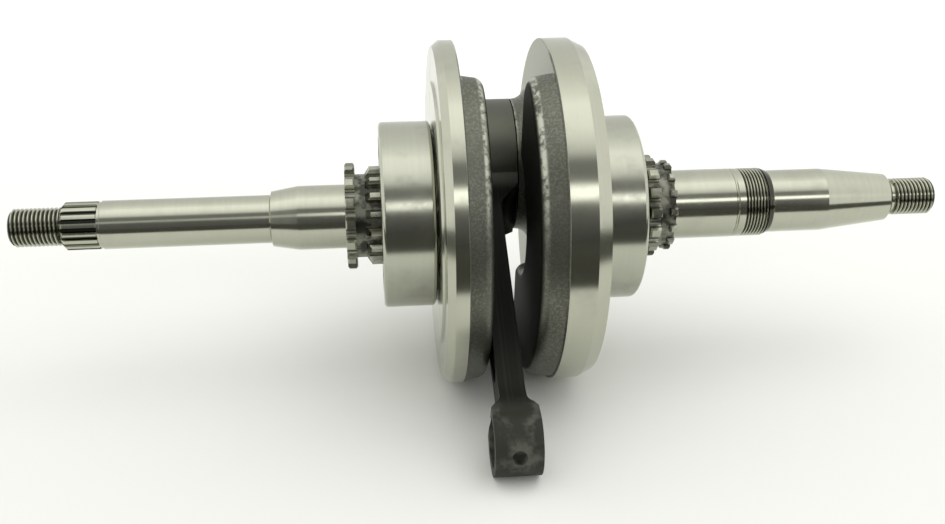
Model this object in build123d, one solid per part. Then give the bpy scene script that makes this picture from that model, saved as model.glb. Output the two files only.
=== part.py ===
from build123d import *
import os
from math import cos, radians, sin

# Pressed-up crankshaft of a single-cylinder scooter engine, in millimetres.
# The crank axis is X, from the splined end to the tapered end. The origin is the
# centre of the left main bearing, +Z is up and -Y is the side the rod leans to.

# Crank throw and connecting rod
THROW = 30.0
PIN_ANGLE = 10.2
ROD_LENGTH = 106.2
ROD_ANGLE = 207.5
WEB_RADIUS = 53.5
PIN_RADIUS = 14.0
ROD_X = 26.6

# Stations of the left crank half along X
LEFT_END = -120.2
LEFT_THREAD_END = -105.2
SPLINE_START = -104.6
SPLINE_END = -93.9
VARIATOR_END = -42.1
LEFT_JOURNAL_START = -33.5
LEFT_SPROCKET_START = -18.8
LEFT_PAD = 8.4
LEFT_FACE = 9.0
LEFT_DISC_INNER = 15.4
LEFT_BOSS = 16.6
LEFT_CHEEK = 22.2

# Stations of the right crank half along X
RIGHT_CHEEK = 35.0
RIGHT_BOSS = 36.6
RIGHT_DISC_INNER = 42.3
RIGHT_RIM_END = 50.5
RIGHT_FACE = 54.5
RIGHT_BEARING_X = 62.8
RIGHT_SPROCKET_START = 70.8
RIGHT_SPROCKET_END = 83.6
RIGHT_JOURNAL_END = 104.1
LOCK_THREAD_START = 106.2
LOCK_THREAD_END = 115.8
TAPER_START = 133.6
TAPER_END = 156.2
RIGHT_THREAD_START = 158.1
RIGHT_END = 171.3

# Shaft radii
BEARING_SEAT_R = 14.0
SHOULDER_R = 17.5
LEFT_SPROCKET_SEAT_R = 11.0
RIGHT_SPROCKET_SEAT_R = 12.0
VARIATOR_R = 7.5
SPLINE_R = 7.42
SPLINE_ROOT_R = 6.5
SPLINE_TEETH = 17
LEFT_JOURNAL_R = 10.0
RIGHT_JOURNAL_R = 11.0
STARTER_JOURNAL_R = 10.0
TAPER_SMALL_R = 7.5
M12_RADIUS = 5.925
M12_PITCH = 1.25
M22_RADIUS = 10.93
M22_PITCH = 1.0

# Webs
BOSS_RADIUS = 22.0
LEFT_BOSS_FLARE = 1.0
RIGHT_BOSS_FLARE = 5.0
CHEEK_RADIUS = 53.0
CHEEK_HUB_RADIUS = 18.0
CHEEK_END = 0.7
CHEEK_CORNER = 12.5
CHEEK_HUB_CORNER = 5.0
CHEEK_EDGE = 3.2
CHEEK_DRAFT = 9.0

# Main bearings, 28 x 58 x 16, nine balls
BEARING_R = 29.0
BEARING_WIDTH = 16.0
BEARING_EDGE = 1.2
BALL_COUNT = 9
BALL_R = 4.366
BALL_CIRCLE_R = 21.5
GROOVE_R = 4.54
BALL_PLAY = 0.05
OUTER_LAND_R = 24.6
INNER_LAND_R = 18.4

# Big end bearing
ROLLER_COUNT = 14
ROLLER_R = 1.95
ROLLER_CIRCLE_R = 16.0
ROLLER_LENGTH = 12.0

# Connecting rod
BIG_END_R = 22.0
BIG_END_BORE_R = 18.0
BIG_END_HALF = 9.6
SMALL_END_R = 9.75
SMALL_END_BORE_R = 7.0
SMALL_END_HALF = 6.7
SHANK_HALF = 3.8
OIL_HOLE_R = 2.2
OIL_HOLE_ANGLE = -31.5

# Tooth counts of the cam chain wheels and of the pump gear
CAM_CHAIN_TEETH = 15
GEAR_TEETH = 16

ALONG_X = (Align.CENTER, Align.CENTER, Align.MIN)


def rod_x_cylinder(x_start, x_end, radius, y=0.0, z=0.0):
    """A cylinder along X."""
    place = Pos(x_start, y, z) * Rot(0, 90, 0)
    return place * Cylinder(radius, x_end - x_start, align=ALONG_X)


def turned(points):
    """A solid of revolution about X from (x, radius) points; both ends reach the axis."""
    first_x = points[0][0]
    last_x = points[-1][0]
    outline = [(first_x, 0.0)] + list(points) + [(last_x, 0.0)]
    return revolve(make_face(Polyline(*outline, close=True)), axis=Axis.X)


def thread_groove(x_start, x_end, radius, pitch, start_angle=0):
    """The helical groove of an external 60 degree thread, running past both ends."""
    depth = 0.6134 * pitch
    rise = 0.2
    root_half = pitch / 16
    mouth_half = root_half + (depth + rise) * 0.5774
    path = Helix(pitch, x_end - x_start, radius)
    corners = [(-depth, -root_half), (rise, -mouth_half), (rise, mouth_half), (-depth, root_half)]
    section_plane = Plane(origin=path @ 0, x_dir=(1, 0, 0), z_dir=path % 0)
    section = section_plane * make_face(Polyline(*corners, close=True))
    groove = sweep(section, path=path, is_frenet=True)
    return Rot(start_angle, 0, 0) * Pos(x_start, 0, 0) * Rot(0, 90, 0) * groove


def centre_hole(x_face, direction):
    """A drilled 60 degree centre in a shaft end; direction is +1 into +X, -1 into -X."""
    steps = [(0.0, 3.2), (2.8, 1.58), (7.5, 1.58), (8.4, 0.0)]
    outline = [(0.0, 0.0)] + steps
    face = make_face(Polyline(*[(x_face + direction * x, r) for x, r in outline], close=True))
    return revolve(face, axis=Axis.X)


def spline_grooves():
    """Seventeen V-sided grooves between the spline's teeth."""
    step = 360 / SPLINE_TEETH
    root_half = SPLINE_ROOT_R * sin(radians(step * 0.17))
    tip_r = SPLINE_R + 0.6
    tip_half = tip_r * sin(radians(step * 0.33))
    corners = [(SPLINE_ROOT_R, -root_half), (tip_r, -tip_half), (tip_r, tip_half), (SPLINE_ROOT_R, root_half)]
    groove = make_face(Polyline(*corners, close=True))
    grooves = Sketch() + [Rot(0, 0, i * step) * groove for i in range(SPLINE_TEETH)]
    length = SPLINE_END - SPLINE_START + 0.6
    return extrude(Plane.YZ.offset(SPLINE_START - 0.3) * grooves, length)


def key_slot():
    """A woodruff key slot in the taper, on the crank pin's side."""
    slot_x = 145.0
    slot_half_width = 2.0
    cutter_r = 8.0
    cutter_height = 12.7
    disc = Rot(90, 0, 0) * Cylinder(cutter_r, 2 * slot_half_width)
    return Rot(PIN_ANGLE, 0, 0) * Pos(slot_x, cutter_height, 0) * Rot(90, 0, 0) * disc


def pin_centre():
    """(y, z) of the crank pin."""
    return THROW * cos(radians(PIN_ANGLE)), THROW * sin(radians(PIN_ANGLE))


def pin_boss(x_disc, x_top, flare):
    """The boss round the pin, flaring into the disc's face with a concave fillet."""
    side = 1 if x_top > x_disc else -1
    arc = [
        (x_disc + side * flare * (1 - cos(radians(a))), BOSS_RADIUS + flare * (1 - sin(radians(a))))
        for a in range(0, 91, 15)
    ]
    profile = sorted([(x_disc - side, arc[0][1])] + arc + [(x_top, BOSS_RADIUS)])
    y, z = pin_centre()
    boss = Pos(0, y, z) * turned(profile)
    return boss & rod_x_cylinder(profile[0][0], profile[-1][0], WEB_RADIUS - 0.3)


def counterweight(x_disc, x_top):
    """The raised half-ring opposite the pin, with rounded corners and edges."""
    reach = 2 * CHEEK_RADIUS
    half_plane = Pos(CHEEK_END - reach / 2, 0) * Rectangle(reach, reach)
    outline = (Circle(CHEEK_RADIUS) & half_plane) - Circle(CHEEK_HUB_RADIUS)
    outer = outline.vertices().sort_by_distance((0, 0, 0))[-2:]
    outline = fillet(outer, CHEEK_CORNER)
    inner = outline.vertices().sort_by_distance((0, 0, 0))[:2]
    outline = fillet(inner, CHEEK_HUB_CORNER)
    side = 1 if x_top > x_disc else -1
    sunk = 1.0
    base = Plane.YZ.offset(x_disc - side * sunk) * outline
    direction = (side, 0, 0)
    block = extrude(base, abs(x_top - x_disc) + sunk, dir=direction, taper=CHEEK_DRAFT)
    top_face = block.faces().sort_by(Axis.X)[-1 if side > 0 else 0]
    block = fillet(top_face.edges(), CHEEK_EDGE)
    return Rot(PIN_ANGLE, 0, 0) * block


def pin_hole(x_start, x_end):
    """The press-fit hole for the crank pin, open past both faces."""
    y, z = pin_centre()
    return rod_x_cylinder(x_start - 2, x_end + 2, PIN_RADIUS, y, z)


def left_crank_half():
    """Splined shaft, bearing seat, thin disc, pin boss and counterweight."""
    profile = [
        (LEFT_END, M12_RADIUS - 1.05),
        (LEFT_END + 1.05, M12_RADIUS),
        (LEFT_THREAD_END, M12_RADIUS),
        (LEFT_THREAD_END + 0.3, M12_RADIUS - 0.8),
        (SPLINE_START, M12_RADIUS - 0.8),
        (SPLINE_START, SPLINE_ROOT_R),
        (SPLINE_START + SPLINE_R - SPLINE_ROOT_R, SPLINE_R),
        (SPLINE_END, SPLINE_R),
        (SPLINE_END + 0.2, SPLINE_R - 0.3),
        (SPLINE_END + 1.0, SPLINE_R - 0.3),
        (SPLINE_END + 1.2, VARIATOR_R),
        (VARIATOR_END, VARIATOR_R),
        (VARIATOR_END + 0.5, VARIATOR_R + 1.1),
        (LEFT_JOURNAL_START, LEFT_JOURNAL_R),
        (LEFT_SPROCKET_START, LEFT_JOURNAL_R),
        (LEFT_SPROCKET_START, LEFT_SPROCKET_SEAT_R),
        (-BEARING_WIDTH / 2, LEFT_SPROCKET_SEAT_R),
        (-BEARING_WIDTH / 2, BEARING_SEAT_R),
        (BEARING_WIDTH / 2, BEARING_SEAT_R),
        (BEARING_WIDTH / 2, SHOULDER_R),
        (LEFT_PAD, SHOULDER_R),
        (LEFT_PAD, 41.0),
        (LEFT_FACE, 41.4),
        (LEFT_FACE, WEB_RADIUS - 1.8),
        (LEFT_FACE + 2.2, WEB_RADIUS),
        (LEFT_DISC_INNER - 0.3, WEB_RADIUS),
        (LEFT_DISC_INNER, WEB_RADIUS - 0.3),
    ]
    body = turned(profile)
    body += pin_boss(LEFT_DISC_INNER, LEFT_BOSS, LEFT_BOSS_FLARE)
    body += counterweight(LEFT_DISC_INNER, LEFT_CHEEK)
    body -= pin_hole(LEFT_PAD, LEFT_BOSS)
    body -= spline_grooves()
    body -= centre_hole(LEFT_END, 1)
    body -= thread_groove(LEFT_END - 1.5, LEFT_THREAD_END + 0.25, M12_RADIUS, M12_PITCH)
    return body


def right_crank_half():
    """Thick disc, bearing seat, journals, lock thread, taper and end thread."""
    profile = [
        (RIGHT_DISC_INNER, WEB_RADIUS - 0.3),
        (RIGHT_DISC_INNER + 0.3, WEB_RADIUS),
        (RIGHT_RIM_END, WEB_RADIUS),
        (RIGHT_FACE, WEB_RADIUS - 2.0),
        (RIGHT_FACE, SHOULDER_R),
        (RIGHT_BEARING_X - BEARING_WIDTH / 2, SHOULDER_R),
        (RIGHT_BEARING_X - BEARING_WIDTH / 2, BEARING_SEAT_R),
        (RIGHT_SPROCKET_START, BEARING_SEAT_R),
        (RIGHT_SPROCKET_START, RIGHT_SPROCKET_SEAT_R),
        (RIGHT_SPROCKET_END, RIGHT_SPROCKET_SEAT_R),
        (RIGHT_SPROCKET_END, RIGHT_JOURNAL_R),
        (RIGHT_JOURNAL_END - 0.7, RIGHT_JOURNAL_R),
        (RIGHT_JOURNAL_END - 0.3, RIGHT_JOURNAL_R - 0.35),
        (RIGHT_JOURNAL_END, RIGHT_JOURNAL_R - 0.35),
        (RIGHT_JOURNAL_END + 0.3, M22_RADIUS),
        (LOCK_THREAD_END - 2.4, M22_RADIUS),
        (LOCK_THREAD_END, STARTER_JOURNAL_R),
        (TAPER_START, STARTER_JOURNAL_R),
        (TAPER_END - 0.9, TAPER_SMALL_R + 0.09),
        (TAPER_END, TAPER_SMALL_R - 0.9),
        (TAPER_END + 0.1, M12_RADIUS - 0.8),
        (RIGHT_THREAD_START - 0.3, M12_RADIUS - 0.8),
        (RIGHT_THREAD_START, M12_RADIUS),
        (RIGHT_END - 1.05, M12_RADIUS),
        (RIGHT_END, M12_RADIUS - 1.05),
    ]
    body = turned(profile)
    body += pin_boss(RIGHT_DISC_INNER, RIGHT_BOSS, RIGHT_BOSS_FLARE)
    body += counterweight(RIGHT_DISC_INNER, RIGHT_CHEEK)
    body -= pin_hole(RIGHT_BOSS, RIGHT_FACE)
    body -= key_slot()
    body -= centre_hole(RIGHT_END, -1)
    body -= thread_groove(RIGHT_THREAD_START - 0.1, RIGHT_END + 1.5, M12_RADIUS, M12_PITCH, 200)
    body -= thread_groove(LOCK_THREAD_START, LOCK_THREAD_END, M22_RADIUS, M22_PITCH)
    return body


def crank_pin():
    """The pressed pin, ending just inside the outer faces of both webs."""
    left_end = LEFT_PAD + 0.6
    right_end = RIGHT_FACE - 1.3
    bevel = 1.0
    profile = [
        (left_end, PIN_RADIUS - bevel),
        (left_end + bevel, PIN_RADIUS),
        (right_end - bevel, PIN_RADIUS),
        (right_end, PIN_RADIUS - bevel),
    ]
    y, z = pin_centre()
    return Pos(0, y, z) * turned(profile)


def toothed_disc(width, teeth, pitch_r, seat_r, tip_r, mouth_half):
    """A flat toothed disc from x = 0 to x = width, its gaps rounded at the bottom."""
    reach = tip_r + 1.0
    mouth = Polyline((pitch_r, -seat_r), (reach, -mouth_half), (reach, mouth_half), (pitch_r, seat_r), close=True)
    gap = Pos(pitch_r, 0) * Circle(seat_r) + make_face(mouth)
    step = 360 / teeth
    gaps = Sketch() + [Rot(0, 0, (i + 0.5) * step) * gap for i in range(teeth)]
    return extrude(Plane.YZ * (Circle(tip_r) - gaps), width)


def chain_wheel(x_start, width, teeth, pitch_r, tip_r, bevels):
    """A chain wheel whose tooth tips are bevelled by (axial, radial) on each side."""
    teeth_disc = toothed_disc(width, teeth, pitch_r, 1.62, tip_r, 3.0)
    (left_axial, left_radial), (right_axial, right_radial) = bevels
    envelope = turned([
        (0.0, tip_r - left_radial),
        (left_axial, tip_r),
        (width - right_axial, tip_r),
        (width, tip_r - right_radial),
    ])
    return Pos(x_start, 0, 0) * (teeth_disc & envelope)


def left_sprocket():
    """Cam chain wheel, neck and the wide pump gear in one piece."""
    gear_start = -12.7
    wheel_width = 3.0
    small_bevel = ((0.45, 0.55), (0.45, 0.55))
    gear_bevel = ((1.5, 2.3), (0.15, 0.15))
    body = chain_wheel(LEFT_SPROCKET_START, wheel_width, CAM_CHAIN_TEETH, 15.27, 16.6, small_bevel)
    body += chain_wheel(gear_start, -BEARING_WIDTH / 2 - gear_start, GEAR_TEETH, 14.2, 15.4, gear_bevel)
    body += rod_x_cylinder(LEFT_SPROCKET_START + 0.5, -BEARING_WIDTH / 2, 13.0)
    body -= rod_x_cylinder(-20, 0, LEFT_SPROCKET_SEAT_R)
    return body


def right_sprocket():
    """The double chain wheel outside the right bearing."""
    inner_wheel_start = 74.8
    outer_wheel_start = 81.4
    bevel = ((0.45, 0.55), (0.45, 0.55))
    body = chain_wheel(inner_wheel_start, 3.4, CAM_CHAIN_TEETH, 15.0, 16.2, bevel)
    body += chain_wheel(outer_wheel_start, RIGHT_SPROCKET_END - outer_wheel_start, CAM_CHAIN_TEETH, 13.3, 14.4, bevel)
    body += rod_x_cylinder(RIGHT_SPROCKET_START, RIGHT_SPROCKET_END - 0.4, 13.0)
    body -= rod_x_cylinder(RIGHT_SPROCKET_START - 1, RIGHT_SPROCKET_END + 1, RIGHT_SPROCKET_SEAT_R)
    return body


def bearing_ring(inner_r, outer_r, track_r, rounded_row):
    """A bearing ring with a ball track; rounded_row picks its two fitted corners."""
    height = outer_r - inner_r
    section = Pos(0, (inner_r + outer_r) / 2) * Rectangle(BEARING_WIDTH, height)
    corners = section.vertices().group_by(Axis.Y)
    section = fillet(corners[rounded_row], BEARING_EDGE)
    section -= Pos(0, track_r) * Circle(GROOVE_R)
    return revolve(section, axis=Axis.X)


def outer_ring():
    """Outer ring, its track clear of the balls by the bearing's play."""
    track_r = BALL_CIRCLE_R + BALL_R + BALL_PLAY - GROOVE_R
    return bearing_ring(OUTER_LAND_R, BEARING_R, track_r, -1)


def inner_ring():
    """Inner ring, pressed on the crank half's seat."""
    track_r = BALL_CIRCLE_R - BALL_R - BALL_PLAY + GROOVE_R
    return bearing_ring(BEARING_SEAT_R, INNER_LAND_R, track_r, 0)


def on_circle(solid, radius, angle):
    """The solid carried out to a radius and turned about X."""
    return Rot(angle, 0, 0) * Pos(0, radius, 0) * solid


def ball_angles():
    """Where the balls sit round the bearing, the first one straight up."""
    return [90 + i * 360 / BALL_COUNT for i in range(BALL_COUNT)]


def rivet_angles():
    """Half way between the balls."""
    return [angle + 180 / BALL_COUNT for angle in ball_angles()]


def cage_half(side):
    """A pressed cage half: a flat ring with a domed pocket over each ball."""
    sheet = 0.8
    pocket_r = BALL_R + 0.1
    rivet_r = 0.8
    inner_r = 20.0
    outer_r = 23.0
    dome = Sphere(pocket_r + sheet)
    hollow = Sphere(pocket_r)
    band = rod_x_cylinder(0, 6, outer_r) - rod_x_cylinder(-1, 7, inner_r)
    body = rod_x_cylinder(0, sheet, outer_r)
    body += [on_circle(dome, BALL_CIRCLE_R, angle) for angle in ball_angles()]
    body &= band
    body -= [on_circle(hollow, BALL_CIRCLE_R, angle) for angle in ball_angles()]
    rivet_hole = rod_x_cylinder(-1, 2, rivet_r)
    body -= [on_circle(rivet_hole, BALL_CIRCLE_R, angle) for angle in rivet_angles()]
    return body if side > 0 else Rot(0, 0, 180) * body


def cage_rivets():
    """Nine rivets that join the two cage halves."""
    sheet = 0.8
    head = 0.45
    profile = [(-sheet - head, 0.9), (-sheet - head / 2, 1.3), (-sheet, 1.3), (-sheet, 0.8)]
    mirrored = [(-x, r) for x, r in reversed(profile)]
    rivet = turned(profile + mirrored)
    return Compound([on_circle(rivet, BALL_CIRCLE_R, angle) for angle in rivet_angles()])


def rod_outline():
    """The rod seen along X: two eyes and a tapering shank that flares into both."""
    waist_big = 8.6
    waist_small = 6.0
    shank = make_face(Polyline(
        (0, -BIG_END_R + 1.5),
        (12, -BIG_END_R + 5),
        (26, -waist_big),
        (ROD_LENGTH - 14, -waist_small),
        (ROD_LENGTH - 4, -SMALL_END_R + 0.9),
        (ROD_LENGTH - 4, SMALL_END_R - 0.9),
        (ROD_LENGTH - 14, waist_small),
        (26, waist_big),
        (12, BIG_END_R - 5),
        (0, BIG_END_R - 1.5),
        close=True,
    ))
    waists = [v for v in shank.vertices() if 20 < v.X < ROD_LENGTH - 10]
    shank = fillet(waists, 14)
    return Circle(BIG_END_R) + Pos(ROD_LENGTH, 0) * Circle(SMALL_END_R) + shank


def rod_thickness():
    """The rod seen from its edge: thick at both eyes, slim along the shank."""
    big_step = 20.0
    small_step = ROD_LENGTH - 8.6
    half = Polyline(
        (-BIG_END_R - 1, 0),
        (-BIG_END_R - 1, BIG_END_HALF),
        (big_step, BIG_END_HALF),
        (big_step + 5.0, SHANK_HALF),
        (small_step - 0.6, SHANK_HALF),
        (small_step + 0.5, SMALL_END_HALF - 1.2),
        (small_step + 2.2, SMALL_END_HALF),
        (ROD_LENGTH + SMALL_END_R + 1, SMALL_END_HALF),
        (ROD_LENGTH + SMALL_END_R + 1, 0),
        close=True,
    )
    face = make_face(half)
    inside = [v for v in face.vertices() if abs(v.Y - SHANK_HALF) < 0.01]
    face = fillet(inside, 3.0)
    return face + mirror(face, about=Plane.XZ)


def shank_pocket():
    """The hollow on one side of the shank that makes it an I beam."""
    start = 31.0
    end = ROD_LENGTH - 20.0
    outline = make_face(Polyline((start, -5.2), (end, -3.4), (end, 3.4), (start, 5.2), close=True))
    outline = fillet(outline.vertices(), 3.0)
    web_half = 1.7
    pocket = Pos(0, 0, web_half) * extrude(outline, SHANK_HALF)
    return fillet(pocket.faces().sort_by(Axis.Z)[0].edges(), 1.0)


def connecting_rod():
    """Forged rod, modelled along local X and turned to lie along ROD_ANGLE."""
    side_view = extrude(rod_outline(), 10, both=True)
    edge_view = extrude(Plane.XZ * rod_thickness(), 30, both=True)
    body = side_view & edge_view
    pocket = shank_pocket()
    body -= pocket
    body -= mirror(pocket, about=Plane.XY)
    body -= Cylinder(BIG_END_BORE_R, 30)
    body -= Pos(ROD_LENGTH, 0, 0) * Cylinder(SMALL_END_BORE_R, 30)
    hole = Rot(0, 90, 0) * Cylinder(OIL_HOLE_R, 14, align=ALONG_X)
    body -= Pos(ROD_LENGTH, 0, 0) * Rot(0, 0, OIL_HOLE_ANGLE) * hole
    y, z = pin_centre()
    upright = Plane(origin=(ROD_X, y, z), x_dir=(0, 1, 0), z_dir=(1, 0, 0))
    return Pos(0, y, z) * Rot(ROD_ANGLE, 0, 0) * Pos(0, -y, -z) * (upright * body)


def rollers():
    """The big end's needle rollers, each with rounded ends."""
    y, z = pin_centre()
    half = ROLLER_LENGTH / 2
    roller = turned([
        (-half, ROLLER_R - 0.4),
        (-half + 0.4, ROLLER_R),
        (half - 0.4, ROLLER_R),
        (half, ROLLER_R - 0.4),
    ])
    step = 360 / ROLLER_COUNT
    return [Pos(ROD_X, y, z) * on_circle(roller, ROLLER_CIRCLE_R, i * step) for i in range(ROLLER_COUNT)]


def big_end_cage():
    """The slotted sleeve that spaces the rollers."""
    y, z = pin_centre()
    half_width = 7.8
    body = rod_x_cylinder(-half_width, half_width, ROLLER_CIRCLE_R + 0.9)
    body -= rod_x_cylinder(-half_width - 1, half_width + 1, ROLLER_CIRCLE_R - 0.9)
    slot = Box(ROLLER_LENGTH + 0.2, 6.0, 2 * ROLLER_R + 0.16)
    step = 360 / ROLLER_COUNT
    body -= [on_circle(slot, ROLLER_CIRCLE_R, i * step) for i in range(ROLLER_COUNT)]
    return Pos(ROD_X, y, z) * body


def bearing_parts(side, x_centre):
    """All the pieces of one main bearing, named for their side."""
    place = Pos(x_centre, 0, 0)
    parts = {
        f"{side}_bearing_outer_ring": place * outer_ring(),
        f"{side}_bearing_inner_ring": place * inner_ring(),
        f"{side}_bearing_cage_outboard": place * cage_half(-1 if side == "left" else 1),
        f"{side}_bearing_cage_inboard": place * cage_half(1 if side == "left" else -1),
        f"{side}_bearing_cage_rivets": place * cage_rivets(),
    }
    for number, angle in enumerate(ball_angles(), start=1):
        parts[f"{side}_bearing_ball_{number:02d}"] = place * on_circle(Sphere(BALL_R), BALL_CIRCLE_R, angle)
    return parts


def all_parts():
    """Every piece of the crankshaft by its node name."""
    parts = {
        "left_crank_half": left_crank_half(),
        "right_crank_half": right_crank_half(),
        "crank_pin": crank_pin(),
        "left_sprocket": left_sprocket(),
        "right_sprocket": right_sprocket(),
        "connecting_rod": connecting_rod(),
        "big_end_cage": big_end_cage(),
    }
    for number, roller in enumerate(rollers(), start=1):
        parts[f"big_end_roller_{number:02d}"] = roller
    parts.update(bearing_parts("left", 0.0))
    parts.update(bearing_parts("right", RIGHT_BEARING_X))
    return parts


os.makedirs("parts", exist_ok=True)
for node, solid in all_parts().items():
    export_step(solid, f"parts/{node}.step")
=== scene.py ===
import math
from collections import namedtuple

import bpy
from mathutils import Matrix, Vector


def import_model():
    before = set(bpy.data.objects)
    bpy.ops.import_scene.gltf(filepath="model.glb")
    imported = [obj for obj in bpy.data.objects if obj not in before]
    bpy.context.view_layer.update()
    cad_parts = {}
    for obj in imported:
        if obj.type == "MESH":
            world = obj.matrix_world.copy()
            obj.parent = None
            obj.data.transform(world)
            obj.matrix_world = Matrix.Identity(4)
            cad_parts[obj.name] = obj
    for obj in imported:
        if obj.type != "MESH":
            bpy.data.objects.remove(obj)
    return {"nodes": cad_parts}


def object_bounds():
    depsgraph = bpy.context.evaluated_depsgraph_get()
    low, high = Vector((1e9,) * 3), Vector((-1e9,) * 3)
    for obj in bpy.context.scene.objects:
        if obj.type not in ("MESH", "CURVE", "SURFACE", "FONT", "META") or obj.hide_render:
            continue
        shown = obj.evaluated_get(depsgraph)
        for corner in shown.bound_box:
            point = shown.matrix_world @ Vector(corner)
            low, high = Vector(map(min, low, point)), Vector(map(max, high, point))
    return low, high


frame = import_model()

MM = 0.001
CAD_BOX = [list(corner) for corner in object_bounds()]
FLOOR_Z = CAD_BOX[0][2]

# Inner faces of the two discs along the crank axis, and how far each cheek stands out from its disc
LEFT_DISC_FACE = 15.4 * MM
RIGHT_DISC_FACE = 42.3 * MM
LEFT_CHEEK_HEIGHT = 6.8 * MM
RIGHT_CHEEK_HEIGHT = 7.3 * MM

# The crank pin's centre, where the rod's big end turns
PIN_Y = 29.5 * MM
PIN_Z = 5.3 * MM

# Threads, spline and a chamfer in millimetres, where shade is painted: start and end along the axis, root and
# crest radius
LEFT_GROOVES = ((-120.3, -105.1, 5.2, 5.8), (-104.6, -93.8, 6.5, 7.25))
RIGHT_GROOVES = ((106.0, 113.4, 10.35, 10.85), (113.4, 115.8, 10.95, 11.10), (158.0, 171.4, 5.2, 5.8))

# Base colours
STEEL = (0.50, 0.51, 0.42)
DISC_FACE_STEEL = (0.30, 0.308, 0.250)
BEARING_STEEL = (0.48, 0.49, 0.41)
BALL_STEEL = (0.75, 0.76, 0.72)
CAGE_STEEL = (0.5, 0.5, 0.44)
PIN_STEEL = (0.6, 0.61, 0.53)
# Painted shade for the bottoms of threads and splines and for a chamfer
GROOVE_SHADE = (0.070, 0.072, 0.058)
FORGED_DULL = (0.112, 0.115, 0.093)
FORGED_GREY = (0.140, 0.144, 0.117)
FORGED_SPOT = (0.180, 0.185, 0.152)
CHEEK_SHADE = (0.022, 0.022, 0.018)
# Painted highlight for the cheeks' rounded edges
EDGE_HIGHLIGHT = (0.52, 0.53, 0.45)


# ---------------------------------------------------------------- node helpers

class Nodes:
    """A small helper for writing node trees line by line."""

    def __init__(self, tree):
        self.tree = tree

    def feed(self, socket, value):
        """Link a socket to a node's output, or set its own value; a colour gets its alpha here."""
        if isinstance(value, bpy.types.NodeSocket):
            self.tree.links.new(value, socket)
        elif socket.type == "RGBA":
            socket.default_value = (*value, 1.0)
        else:
            socket.default_value = value

    def add(self, kind, settings=(), **inputs):
        node = self.tree.nodes.new(kind)
        for name, value in dict(settings).items():
            setattr(node, name, value)
        for name, value in inputs.items():
            self.feed(node.inputs[name.replace("_", " ")], value)
        return node

    def math(self, operation, first, second=0.0, clamp=False):
        node = self.add("ShaderNodeMath", {"operation": operation, "use_clamp": clamp})
        self.feed(node.inputs[0], first)
        self.feed(node.inputs[1], second)
        return node.outputs[0]

    def times(self, first, second):
        return self.math("MULTIPLY", first, second)

    def inverse(self, value):
        return self.math("SUBTRACT", 1.0, value)

    def step(self, value, low, high):
        """0 below low, 1 above high, smooth between."""
        smooth = {"interpolation_type": "SMOOTHSTEP"}
        node = self.add("ShaderNodeMapRange", smooth, Value=value, From_Min=low, From_Max=high)
        return node.outputs["Result"]

    def mix(self, factor, first, second):
        """A colour between two."""
        node = self.add("ShaderNodeMix", {"data_type": "RGBA"})
        self.feed(node.inputs[0], factor)
        self.feed(node.inputs[6], first)
        self.feed(node.inputs[7], second)
        return node.outputs[2]

    def blend(self, factor, first, second):
        """A number between two."""
        node = self.add("ShaderNodeMix", {"data_type": "FLOAT"})
        self.feed(node.inputs[0], factor)
        self.feed(node.inputs[2], first)
        self.feed(node.inputs[3], second)
        return node.outputs[0]

    def noise(self, vector, scale, detail=3.0, roughness=0.55):
        node = self.add("ShaderNodeTexNoise", Vector=vector, Scale=scale, Detail=detail, Roughness=roughness)
        return node.outputs["Fac"]


def new_material(name):
    material = bpy.data.materials.new(name)
    material.use_nodes = True
    tree = material.node_tree
    return material, Nodes(tree), tree.nodes["Principled BSDF"]


def surface(nodes, shader, colour, metallic, rough):
    """Colour, metal and roughness of a material, each a value or a node's output."""
    nodes.feed(shader.inputs["Base Color"], colour)
    nodes.feed(shader.inputs["Metallic"], metallic)
    nodes.feed(shader.inputs["Roughness"], rough)


def bumped(nodes, shader, height, strength, distance):
    bump = nodes.add("ShaderNodeBump", Height=height, Strength=strength, Distance=distance)
    nodes.feed(shader.inputs["Normal"], bump.outputs["Normal"])


def darker(colour, factor):
    return tuple(channel * factor for channel in colour)


# Object position, its parts along X, Y and Z, and the distance from the crank axis
Place = namedtuple("Place", "position along y z radius")


def distance(nodes, y, z):
    squares = nodes.math("ADD", nodes.times(y, y), nodes.times(z, z))
    return nodes.math("SQRT", squares)


def place_on_part(nodes):
    position = nodes.add("ShaderNodeTexCoord").outputs["Object"]
    along, y, z = nodes.add("ShaderNodeSeparateXYZ", Vector=position).outputs
    return Place(position, along, y, z, distance(nodes, y, z))


# ---------------------------------------------------------------- layers and masks

def turning_lines(nodes, place):
    """Fine rings left by the lathe, on both cylinders and flat faces."""
    reach = nodes.math("ADD", place.along, nodes.times(place.radius, 0.83))
    ring = nodes.add("ShaderNodeCombineXYZ", X=reach).outputs[0]
    fine = nodes.noise(ring, 3600.0, 2.0, 0.7)
    coarse = nodes.noise(ring, 700.0, 2.0, 0.6)
    return nodes.math("ADD", nodes.times(fine, 0.6), nodes.times(coarse, 0.4))


def stain_mask(nodes, place):
    """Faint stains and handling marks."""
    return nodes.step(nodes.noise(place.position, 95.0, 4.0, 0.6), 0.48, 0.75)


def groove_shade_mask(nodes, place, grooves):
    """Painted shade in the bottoms of threads and splines, and on a chamfer; each groove is (start, end, root,
    crest).
    """
    total = 0.0
    for start, end, root, crest in grooves:
        after = nodes.step(place.along, start * MM, (start + 0.1) * MM)
        before = nodes.inverse(nodes.step(place.along, (end - 0.1) * MM, end * MM))
        deep = nodes.inverse(nodes.step(place.radius, root * MM, crest * MM))
        painted_shade = nodes.times(nodes.times(after, before), deep)
        total = nodes.math("ADD", painted_shade, total, clamp=True)
    return total


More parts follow.
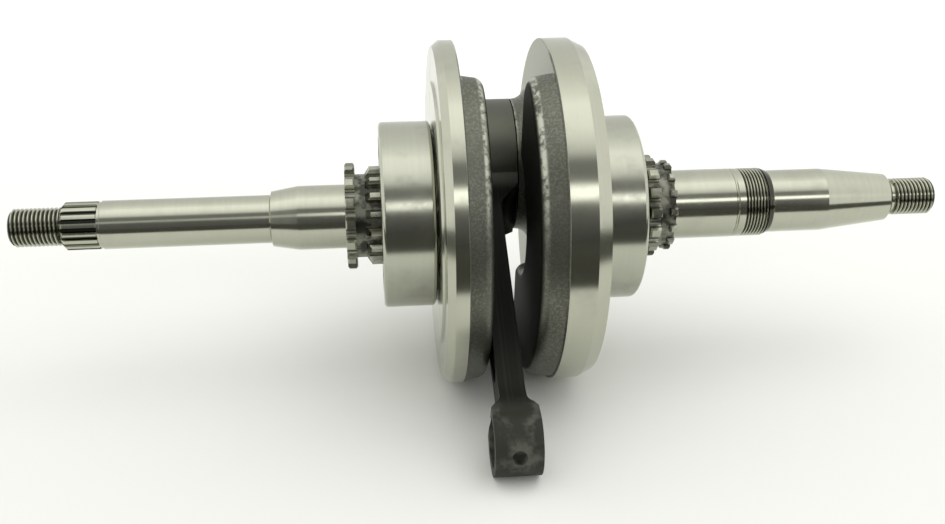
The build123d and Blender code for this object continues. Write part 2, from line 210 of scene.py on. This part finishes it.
def turned_layer(nodes, place, offset, grooves):
    """Colour, roughness and height of the shaft, the rim and the duller inner face of the disc, with painted
    shade in the grooves.
    """
    lines = turning_lines(nodes, place)
    stains = stain_mask(nodes, place)
    colour = nodes.mix(stains, STEEL, darker(STEEL, 0.86))
    colour = nodes.mix(nodes.step(lines, 0.3, 0.7), darker(STEEL, 0.92), colour)
    # Painted shade: thread and spline bottoms and a chamfer are darkened
    colour = nodes.mix(groove_shade_mask(nodes, place, grooves), colour, GROOVE_SHADE)
    disc_face = nodes.step(offset, -0.2 * MM, -0.1 * MM)
    colour = nodes.mix(disc_face, colour, DISC_FACE_STEEL)
    rough = nodes.blend(disc_face, nodes.blend(stains, 0.15, 0.21), 0.36)
    return colour, rough, nodes.times(lines, 0.03)


def painted_edge_highlight(nodes, place, offset, cheek_height):
    """Where the cheek's rounded edge gets a painted highlight, broken up by noise, on its upper half."""
    rise = nodes.step(offset, cheek_height - 2.5 * MM, cheek_height - 1.7 * MM)
    fall = nodes.inverse(nodes.step(offset, cheek_height - 0.8 * MM, cheek_height - 0.3 * MM))
    broken = nodes.step(nodes.noise(place.position, 420.0, 3.0, 0.6), 0.36, 0.58)
    # The painted highlight keeps to the upper half, where the light falls
    upper = nodes.step(place.z, 6 * MM, 30 * MM)
    return nodes.times(nodes.times(nodes.times(rise, fall), broken), upper)


def forged_layer(nodes, place, offset, cheek_height):
    """Colour, roughness and height of a blasted forging, with a painted highlight on the rounded edge and
    painted shade on the inner face.
    """
    grain = nodes.noise(place.position, 1500.0, 3.0, 0.7)
    lumps = nodes.noise(place.position, 600.0, 4.0, 0.65)
    patches = nodes.step(nodes.noise(place.position, 60.0, 3.0, 0.5), 0.35, 0.7)
    spots = nodes.step(grain, 0.44, 0.64)
    colour = nodes.mix(spots, nodes.mix(patches, FORGED_DULL, FORGED_GREY), FORGED_SPOT)
    inner_face = nodes.step(offset, cheek_height - 0.6 * MM, cheek_height - 0.1 * MM)
    colour = nodes.mix(inner_face, colour, CHEEK_SHADE)
    # Painted highlight along the cheek's rounded edge
    colour = nodes.mix(painted_edge_highlight(nodes, place, offset, cheek_height), colour, EDGE_HIGHLIGHT)
    rough = nodes.blend(inner_face, nodes.blend(spots, 0.42, 0.34), 0.6)
    height = nodes.math("ADD", nodes.times(grain, 0.4), nodes.times(lumps, 0.5))
    return colour, rough, height


def forged_mask(nodes, place, offset):
    """1 on the boss and counterweight, and on the narrow ring outside the counterweight."""
    raised = nodes.step(offset, 0.3 * MM, 0.8 * MM)
    off_rim = nodes.inverse(nodes.step(place.radius, 53.0 * MM, 53.2 * MM))
    counterweight_side = nodes.inverse(nodes.step(place.y, -12 * MM, -6 * MM))
    ring = nodes.times(nodes.step(place.radius, 52.2 * MM, 52.6 * MM), counterweight_side)
    ring = nodes.times(ring, nodes.step(offset, -0.4 * MM, -0.3 * MM))
    return nodes.math("MAXIMUM", nodes.times(raised, off_rim), ring)


# ---------------------------------------------------------------- materials

def machined_steel(name, colour, rough):
    """Turned or ground steel with fine rings, faint stains and handling marks."""
    material, nodes, shader = new_material(name)
    place = place_on_part(nodes)
    lines = turning_lines(nodes, place)
    stains = stain_mask(nodes, place)
    base = nodes.mix(nodes.step(lines, 0.35, 0.7), darker(colour, 0.93), colour)
    tone = nodes.mix(stains, base, darker(colour, 0.82))
    specks = nodes.times(nodes.noise(place.position, 900.0, 2.0, 0.6), 0.06)
    rough_all = nodes.math("ADD", nodes.blend(stains, rough, rough + 0.08), specks)
    surface(nodes, shader, tone, 1.0, rough_all)
    bumped(nodes, shader, lines, 0.12, 0.05 * MM)
    return material


def crank_material(name, disc_face_x, side, cheek_height, grooves):
    """Machined shaft and rim; the boss and counterweight stay as forged. side is +1 towards +X."""
    material, nodes, shader = new_material(name)
    place = place_on_part(nodes)
    offset = nodes.times(nodes.math("SUBTRACT", place.along, disc_face_x), side)
    turned = turned_layer(nodes, place, offset, grooves)
    forged = forged_layer(nodes, place, offset, cheek_height)
    mask = forged_mask(nodes, place, offset)
    colour = nodes.mix(mask, turned[0], forged[0])
    rough = nodes.blend(mask, turned[1], forged[1])
    surface(nodes, shader, colour, nodes.blend(mask, 1.0, 0.85), rough)
    bumped(nodes, shader, nodes.blend(mask, turned[2], forged[2]), 0.4, 0.2 * MM)
    return material


def rod_material(name):
    """Black forging with a smoother, greyer big end and a rubbed small end."""
    material, nodes, shader = new_material(name)
    place = place_on_part(nodes)
    from_pin_y = nodes.math("SUBTRACT", place.y, PIN_Y)
    from_pin_z = nodes.math("SUBTRACT", place.z, PIN_Z)
    from_pin = distance(nodes, from_pin_y, from_pin_z)
    big_end = nodes.inverse(nodes.step(from_pin, 22.2 * MM, 24.5 * MM))
    small_end = nodes.step(from_pin, 96 * MM, 101 * MM)
    across = nodes.add("ShaderNodeCombineXYZ", X=place.along).outputs[0]
    streaks = nodes.step(nodes.noise(across, 900.0, 2.0, 0.6), 0.45, 0.8)
    grain = nodes.noise(place.position, 1800.0, 3.0, 0.6)
    blotches = nodes.step(nodes.noise(place.position, 170.0, 3.0, 0.6), 0.42, 0.68)
    black = nodes.mix(streaks, (0.010, 0.010, 0.008), (0.024, 0.025, 0.020))
    rubbed = nodes.mix(blotches, (0.028, 0.029, 0.023), (0.085, 0.088, 0.072))
    grey = nodes.mix(grain, (0.105, 0.108, 0.090), (0.130, 0.134, 0.111))
    colour = nodes.mix(big_end, nodes.mix(small_end, black, rubbed), grey)
    surface(nodes, shader, colour, nodes.blend(big_end, 0.0, 0.95), nodes.blend(big_end, 0.50, 0.42))
    shader.inputs["Specular IOR Level"].default_value = 0.14
    bumped(nodes, shader, grain, 0.25, 0.1 * MM)
    return material


def sprocket_material(name):
    """Hardened wheels, their teeth rubbed brighter than the gaps and necks."""
    material, nodes, shader = new_material(name)
    place = place_on_part(nodes)
    teeth = nodes.step(place.radius, 13.1 * MM, 14.5 * MM)
    mottle = nodes.step(nodes.noise(place.position, 260.0), 0.4, 0.62)
    low = nodes.mix(mottle, (0.055, 0.056, 0.046), (0.240, 0.245, 0.200))
    high = nodes.mix(nodes.noise(place.position, 500.0), (0.30, 0.306, 0.252), (0.46, 0.47, 0.387))
    surface(nodes, shader, nodes.mix(teeth, low, high), 1.0, nodes.blend(teeth, 0.40, 0.26))
    bumped(nodes, shader, turning_lines(nodes, place), 0.15, 0.05 * MM)
    return material


def dress(names, material):
    """Give CAD nodes a material on their own slots."""
    for name in names:
        piece = frame["nodes"][name]
        if not piece.material_slots:
            piece.data.materials.append(material)
        for slot in piece.material_slots:
            slot.material = material


def dress_all():
    names = sorted(frame["nodes"])
    left = crank_material("crank_steel_left", LEFT_DISC_FACE, 1.0, LEFT_CHEEK_HEIGHT, LEFT_GROOVES)
    right = crank_material("crank_steel_right", RIGHT_DISC_FACE, -1.0, RIGHT_CHEEK_HEIGHT, RIGHT_GROOVES)
    dress(["left_crank_half"], left)
    dress(["right_crank_half"], right)
    dress(["crank_pin"], machined_steel("pin_steel", PIN_STEEL, 0.18))
    dress(["connecting_rod"], rod_material("rod_forging"))
    rings = [name for name in names if name.endswith("_ring")]
    wheels = [name for name in names if name.endswith("_sprocket")]
    rolling = [name for name in names if "_ball_" in name or "_roller_" in name]
    cages = [name for name in names if "cage" in name]
    dress(rings, machined_steel("bearing_steel", BEARING_STEEL, 0.15))
    dress(wheels, sprocket_material("sprocket_steel"))
    dress(rolling, machined_steel("ball_steel", BALL_STEEL, 0.08))
    dress(cages, machined_steel("cage_steel", CAGE_STEEL, 0.3))


# ---------------------------------------------------------------- stage

FLOOR_HALF = 3.0


def floor_material():
    """Pale and matt, with painted light that makes it brighter towards the back; metal sees the floor end in
    front of the crankshaft.
    """
    material, nodes, shader = new_material("floor")
    place = place_on_part(nodes)
    # Painted light: the floor grows brighter towards the back
    back = nodes.step(place.y, -0.1, 0.4)
    pale = nodes.mix(back, (0.80, 0.805, 0.780), (0.92, 0.92, 0.915))
    grain = nodes.times(nodes.noise(place.position, 400.0, 2.0), 0.05)
    pale = nodes.mix(grain, pale, (0.70, 0.70, 0.66))
    past_edge = nodes.inverse(nodes.step(place.y, -0.142, -0.126))
    reflected = nodes.add("ShaderNodeLightPath").outputs["Is Glossy Ray"]
    colour = nodes.mix(nodes.times(past_edge, reflected), pale, (0.05, 0.05, 0.042))
    surface(nodes, shader, colour, 0.0, 0.8)
    shader.inputs["Specular IOR Level"].default_value = 0.1
    return material


def floor():
    """A wide floor at the height of the webs' lowest point."""
    mesh = bpy.data.meshes.new("floor")
    turns = ((-1, -1), (1, -1), (1, 1), (-1, 1))
    corners = [(x * FLOOR_HALF, y * FLOOR_HALF, FLOOR_Z) for x, y in turns]
    mesh.from_pydata(corners, [], [(0, 1, 2, 3)])
    mesh.materials.append(floor_material())
    piece = bpy.data.objects.new("floor", mesh)
    bpy.context.scene.collection.objects.link(piece)


# Brightness of the room round the crank axis, from the back over the top to the front, in degrees
ROOM = (
    (0, 0.80), (35, 0.88), (62, 1.05), (80, 1.35), (88, 1.60), (105, 1.48), (117, 1.15), (123, 0.85),
    (128.5, 0.26), (143, 0.24), (145, 2.5), (152.5, 2.5), (154.5, 0.24), (161, 0.17), (171, 0.12), (180, 0.07),
)
ROOM_PEAK = 2.5
SIDE_WALL = 1.15
STRIP_END = 0.15
BACKDROP = 0.94
WARM_BLUE = 0.97


def grey(level, blue=WARM_BLUE):
    """A brightness as a colour, as a share of the brightest."""
    share = level / ROOM_PEAK
    return (share, share, share * blue)


def room_ramp(nodes, angle):
    """The room's brightness at an angle round the crank axis."""
    ramp = nodes.add("ShaderNodeValToRGB", Fac=nodes.math("DIVIDE", angle, math.pi))
    elements = ramp.color_ramp.elements
    while len(elements) < len(ROOM):
        elements.new(0.5)
    for element, (degrees, level) in zip(elements, ROOM):
        element.position = degrees / 180
        element.color = (*grey(level), 1.0)
    return ramp.outputs["Color"]


def world():
    """A pale room with a soft light overhead, a strip light and a dark zone in front."""
    studio = bpy.data.worlds.new("studio")
    bpy.context.scene.world = studio
    studio.use_nodes = True
    tree = studio.node_tree
    tree.nodes.clear()
    nodes = Nodes(tree)
    direction = nodes.add("ShaderNodeTexCoord").outputs["Generated"]
    x, y, z = nodes.add("ShaderNodeSeparateXYZ", Vector=direction).outputs
    angle = nodes.math("ARCTAN2", nodes.math("MAXIMUM", z, 0.0), y)
    left = nodes.inverse(nodes.step(x, -0.08, 0.02))
    front = nodes.step(angle, math.radians(139), math.radians(142))
    past_strip = nodes.times(nodes.times(left, front), 0.8)
    room = nodes.mix(past_strip, room_ramp(nodes, angle), grey(STRIP_END))
    sideways = nodes.step(nodes.math("ABSOLUTE", x), 0.38, 0.62)
    room = nodes.mix(sideways, room, grey(SIDE_WALL))
    seen = nodes.add("ShaderNodeLightPath").outputs["Is Camera Ray"]
    colour = nodes.mix(seen, room, grey(BACKDROP, 1.0))
    background = nodes.add("ShaderNodeBackground", Color=colour, Strength=ROOM_PEAK)
    nodes.add("ShaderNodeOutputWorld", Surface=background.outputs[0])


def lamp(name, place, size, power):
    """A soft square light, aimed at the webs, that metal doesn't mirror."""
    data = bpy.data.lights.new(name, "AREA")
    data.size = size
    data.energy = power
    piece = bpy.data.objects.new(name, data)
    target = Vector((0.02, 0.0, 0.0))
    piece.location = place
    piece.rotation_euler = (target - Vector(place)).to_track_quat("-Z", "Y").to_euler()
    piece.visible_glossy = False
    bpy.context.scene.collection.objects.link(piece)


def camera():
    """The viewpoint: a little left of the webs, 24 degrees above."""
    data = bpy.data.cameras.new("camera")
    data.sensor_width = 36.0
    data.lens = 41.37
    data.clip_start = 0.01
    piece = bpy.data.objects.new("camera", data)
    forward = Vector((0.08956, 0.90802, -0.40924)).normalized()
    right = forward.cross(Vector((0.0, 0.0, 1.0))).normalized()
    turn = Matrix((right, right.cross(forward), -forward)).transposed()
    place = Vector((-10.56, -318.81, 126.2)) * MM
    piece.matrix_world = Matrix.Translation(place) @ turn.to_4x4()
    bpy.context.scene.collection.objects.link(piece)
    bpy.context.scene.camera = piece


dress_all()
floor()
world()
lamp("overhead", (0.55, 0.10, 0.95), 0.7, 1.3)
lamp("fill", (0.35, -0.90, 0.75), 1.0, 2.2)
camera()
bpy.context.scene.view_settings.view_transform = "Standard"
